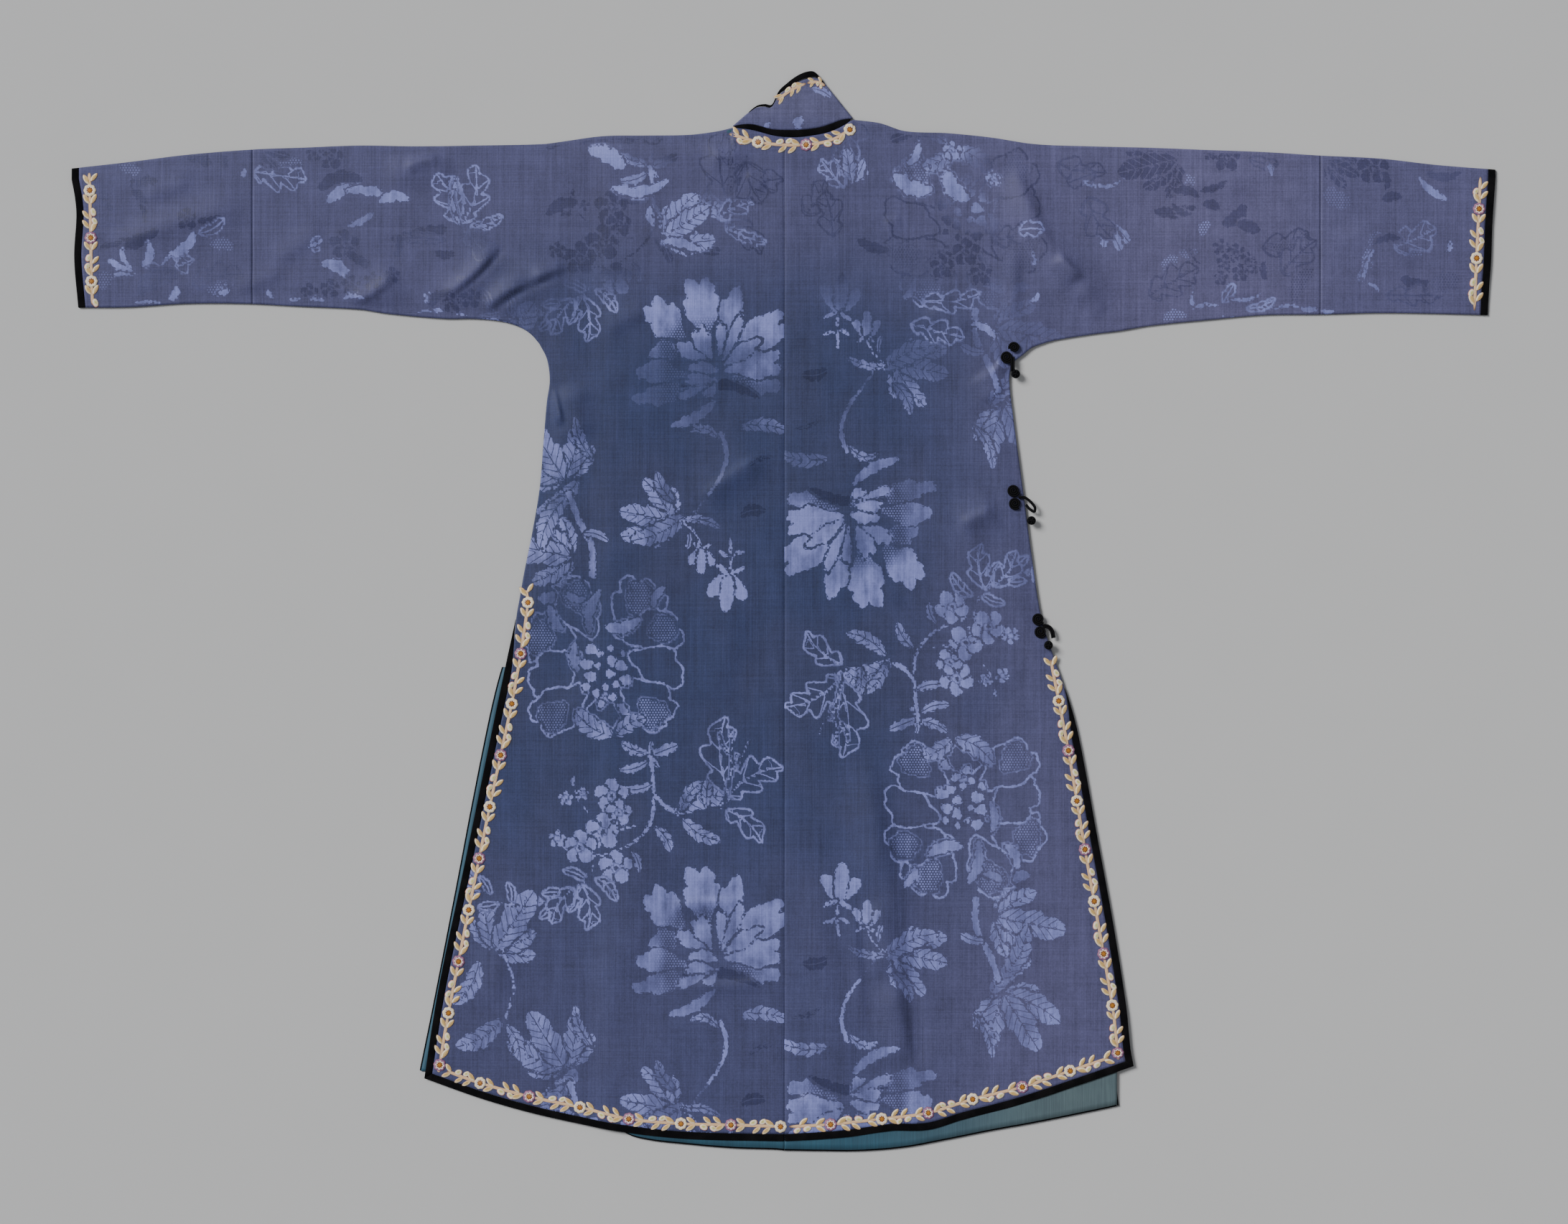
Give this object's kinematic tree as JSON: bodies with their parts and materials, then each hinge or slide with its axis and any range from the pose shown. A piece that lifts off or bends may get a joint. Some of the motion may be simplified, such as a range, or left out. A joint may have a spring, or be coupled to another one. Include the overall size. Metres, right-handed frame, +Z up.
{
  "type": "woven silk robe",
  "caption": "Woman's side-fastening silk robe with straight sleeves, stand collar, side slits, velvet bindings and embroidered ribbon, laid flat face down.",
  "frame": {"origin": "middle of the garment's outline on the surface it lies on, at the centre-back seam", "axes": "+X along the sleeves towards the wearer's right, +Y towards the collar, +Z up from the surface, out of the back of the robe"},
  "size_m": [1.5457, 1.1725, 0.0115],
  "materials": {
    "silk": "purple-blue silk damask",
    "lining": "teal plain silk lining",
    "velvet": "black velvet",
    "ribbon": "satin stitch embroidery in peach, cream, lilac and gold",
    "cord": "black silk cord"
  },
  "bodies": {
    "root": {"body_left": "silk", "body_right": "silk", "collar": "silk", "collar_binding": "velvet", "collar_ribbon": "ribbon", "cuff_binding_left": "velvet", "cuff_binding_right": "velvet", "cuff_ribbon_left": "ribbon", "cuff_ribbon_right": "ribbon", "frog_lower": "cord", "frog_middle": "cord", "frog_top": "cord", "front_piping_left": "velvet", "hem_binding_left": "velvet", "hem_binding_right": "velvet", "hem_ribbon_left": "ribbon", "hem_ribbon_right": "ribbon", "knot_lower": "cord", "knot_middle": "cord", "knot_top": "cord", "lapel_piping": "velvet", "lining_hem_left": "lining", "lining_hem_right": "lining", "lining_left": "lining", "neck_binding_back": "velvet", "neck_binding_left": "velvet", "neck_binding_right": "velvet", "neck_ribbon": "ribbon", "outer_front": "silk", "sleeve_end_left": "silk", "sleeve_end_right": "silk", "slit_binding_left": "velvet", "slit_binding_right": "velvet", "slit_ribbon_left": "ribbon", "slit_ribbon_right": "ribbon", "underlap": "silk", "underlap_piping_left": "velvet", "underlap_piping_right": "velvet"}
  },
  "joints": []
}
